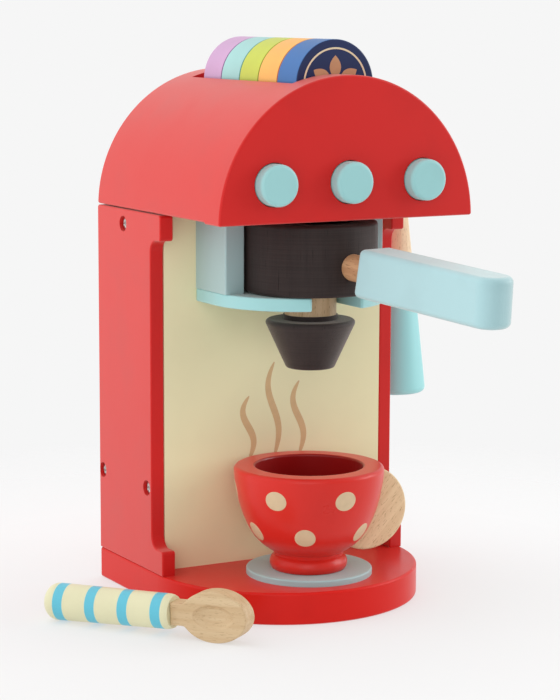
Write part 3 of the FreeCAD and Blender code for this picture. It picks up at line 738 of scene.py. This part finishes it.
def photograph_camera():
    """Camera with the photograph's place, direction and shifted centre."""
    data = bpy.data.cameras.new("camera")
    camera = bpy.data.objects.new("camera", data)
    bpy.context.scene.collection.objects.link(camera)
    turn = Matrix.Rotation(math.radians(-CAMERA_YAW), 4, "Z")
    tilt = Matrix.Rotation(math.radians(90 + CAMERA_PITCH), 4, "X")
    roll = Matrix.Rotation(math.radians(CAMERA_ROLL), 4, "Z")
    camera.matrix_world = Matrix.Translation(CAMERA_PLACE) @ turn @ tilt @ roll
    width, height = IMAGE_SIZE
    longest = max(IMAGE_SIZE)
    data.sensor_width = SENSOR_WIDTH
    data.lens = FOCAL_PIXELS * SENSOR_WIDTH / longest
    data.shift_x = (width / 2 - CENTRE_PIXEL[0]) / longest
    data.shift_y = (CENTRE_PIXEL[1] - height / 2) / longest
    bpy.context.scene.camera = camera


def soft_lamp(name, place, aim, size, watts):
    """Wide flat lamp that looks at a point."""
    data = bpy.data.lights.new(name, "AREA")
    data.shape = "RECTANGLE"
    data.size, data.size_y = size
    data.energy = watts
    lamp = bpy.data.objects.new(name, data)
    bpy.context.scene.collection.objects.link(lamp)
    lamp.location = place
    lamp.rotation_euler = (Vector(aim) - Vector(place)).to_track_quat("-Z", "Y").to_euler()


def studio_world():
    """Pale surroundings: brightest behind and dim in front, with more light from the left, from above and
    from below. To the camera, in gloss and through clear things they are the plain backdrop."""
    world = bpy.data.worlds.new("studio")
    world.use_nodes = True
    bpy.context.scene.world = world
    tree = world.node_tree
    tree.nodes.clear()
    link = tree.links.new
    place = tree.nodes.new("ShaderNodeTexCoord")
    axes = tree.nodes.new("ShaderNodeSeparateXYZ")
    link(place.outputs["Generated"], axes.inputs["Vector"])
    levels = []
    for axis, low, high, dim, bright in WORLD_LEVELS:
        level = tree.nodes.new("ShaderNodeMapRange")
        level.interpolation_type = "SMOOTHSTEP"
        for socket, value in (("From Min", low), ("From Max", high), ("To Min", dim), ("To Max", bright)):
            level.inputs[socket].default_value = value
        link(axes.outputs[axis], level.inputs["Value"])
        levels.append(level.outputs["Result"])
    total = levels[0]
    for level in levels[1:]:
        add = tree.nodes.new("ShaderNodeMath")
        add.operation = "ADD"
        link(total, add.inputs[0])
        link(level, add.inputs[1])
        total = add.outputs["Value"]
    path = tree.nodes.new("ShaderNodeLightPath")
    around = tree.nodes.new("ShaderNodeBackground")
    seen = tree.nodes.new("ShaderNodeBackground")
    seen.inputs["Color"].default_value = (BACKDROP_LEVEL,) * 3 + (1.0,)
    shown = path.outputs["Is Camera Ray"]
    for ray in ("Is Glossy Ray", "Is Transmission Ray"):
        either = tree.nodes.new("ShaderNodeMath")
        either.operation = "MAXIMUM"
        link(shown, either.inputs[0])
        link(path.outputs[ray], either.inputs[1])
        shown = either.outputs["Value"]
    mix = tree.nodes.new("ShaderNodeMixShader")
    out = tree.nodes.new("ShaderNodeOutputWorld")
    link(total, around.inputs["Strength"])
    link(shown, mix.inputs["Fac"])
    link(around.outputs["Background"], mix.inputs[1])
    link(seen.outputs["Background"], mix.inputs[2])
    link(mix.outputs["Shader"], out.inputs["Surface"])


def studio_floor():
    """Pale floor: part of it glows at the backdrop's level, so that the shadow on it stays light, and it
    fades into the backdrop away from the toy."""
    mesh = bpy.data.meshes.new("floor")
    corners = [(x * FLOOR_HALF, y * FLOOR_HALF, 0) for x, y in ((-1, -1), (1, -1), (1, 1), (-1, 1))]
    mesh.from_pydata(corners, [], [(0, 1, 2, 3)])
    floor = bpy.data.objects.new("floor", mesh)
    bpy.context.scene.collection.objects.link(floor)
    finish = Finish("floor_paper")
    finish.surface((FLOOR_PAPER,) * 3 + (1.0,), roughness=0.8, specular=0.1)
    glow = finish.add("ShaderNodeEmission")
    glow.inputs["Color"].default_value = (BACKDROP_LEVEL,) * 3 + (1.0,)
    paper = finish.add("ShaderNodeMixShader")
    paper.inputs["Fac"].default_value = FLOOR_GLOW
    finish.put(paper.inputs[1], finish.shader.outputs["BSDF"])
    finish.put(paper.inputs[2], glow.outputs["Emission"])
    distance = finish.add("ShaderNodeVectorMath", operation="LENGTH")
    finish.put(distance.inputs[0], finish.place)
    fade = finish.span(distance.outputs["Value"], *FLOOR_FADE, 0.0, 1.0)
    clear = finish.add("ShaderNodeBsdfTransparent")
    mix = finish.add("ShaderNodeMixShader")
    finish.put(mix.inputs["Fac"], fade)
    finish.put(mix.inputs[1], paper.outputs["Shader"])
    finish.put(mix.inputs[2], clear.outputs["BSDF"])
    finish.put(finish.tree.nodes["Material Output"].inputs["Surface"], mix.outputs["Shader"])
    floor.data.materials.append(finish.material)


def finishes():
    """Paints, stains and woods on the CAD pieces."""
    red = painted_wood("red_paint", srgb(208, 12, 8))
    base_red = painted_wood("base_red_paint", srgb(212, 28, 20), roughness=0.3, sheen=0.05, specular=0.15)
    # The cup's red, with painted shade inside its bowl
    cup_red = painted_wood("cup_red_paint", srgb(214, 38, 28), roughness=0.3, sheen=0.06, bowl="cup")
    cream = painted_wood("cream_paint", srgb(240, 233, 190), mottle=0.02, sheen=0.15)
    aqua = painted_wood("aqua_paint", srgb(158, 210, 211), grain=CROSSWISE)
    pale_aqua = painted_wood("pale_aqua_paint", srgb(166, 204, 209), grain=PEG_AXIS, sheen=0.5)
    grey_aqua = painted_wood("grey_aqua_paint", srgb(164, 194, 195), grain=CROSSWISE, sheen=0.2)
    dark = dark_stain("dark_stain")
    upright = bare_beech("beech_upright", UPRIGHT)
    crosswise = bare_beech("beech_crosswise", CROSSWISE)
    spoon = bare_beech("beech_spoon", SPOON_AXIS, srgb(214, 188, 150), srgb(200, 169, 129), fleck=0.45)
    coat(red, "side_panel_left", "side_panel_right", "back_panel", "top_board")
    coat(red, "head_block", "head_front_plate")
    coat(base_red, "base_board")
    coat(cup_red, "cup")
    coat(cream, "front_panel")
    coat(grey_aqua, "bracket_block_left", "bracket_block_right", "coaster")
    coat(pale_aqua, "handle")
    coat(aqua, "fork_plate", "button_left", "button_middle", "button_right")
    coat(dark, "chamber")
    coat(dark_stain("nozzle_stain", sheen=0.3), "nozzle")
    coat(upright, "spindle")
    coat(crosswise, "head_dowels", "bracket_dowels", "wand_pivot", "pivot_collar")
    coat(bare_beech("beech_peg", PEG_AXIS, srgb(204, 158, 118), srgb(176, 128, 90)), "handle_peg")
    coat(bare_beech("beech_ear", EAR_GRAIN, srgb(236, 208, 168), srgb(222, 190, 148)), "cup_ear")
    coat(spoon, "spoon_head")
    coat(dipped_beech("dipped_wand", srgb(160, 222, 224), WAND_PAINT_TOP), "steam_wand")
    for number, (_, paint, rim, face) in enumerate(PODS, 1):
        node = "pod_%d" % number
        # Each pod's darker face is partly painted shade
        coat(pod_paint_with_painted_shade(paint, srgb(*rim), srgb(*face), node), node)
    coat(zinc("zinc"), "side_screws_left", "side_screws_right", "base_screws", "head_screws", "fork_screws")
    coat(striped_paint("striped_lacquer", srgb(226, 222, 184), srgb(100, 194, 216)), "spoon_handle")


finishes()
dot_cup(printed_ink("dot_paint", srgb(216, 190, 154)))
dome_screws(zinc("zinc_dome"))
spring_buttons(zinc("spring_steel"))
draw_steam(printed_ink("steam_ink", srgb(216, 182, 136)))
print_pods(printed_ink("petal_ink", srgb(196, 150, 112)), printed_ink("ring_ink", srgb(230, 214, 180)))
bpy.context.scene.view_settings.view_transform = "Standard"
studio_world()
studio_floor()
for lamp in LAMPS:
    soft_lamp(*lamp)
photograph_camera()
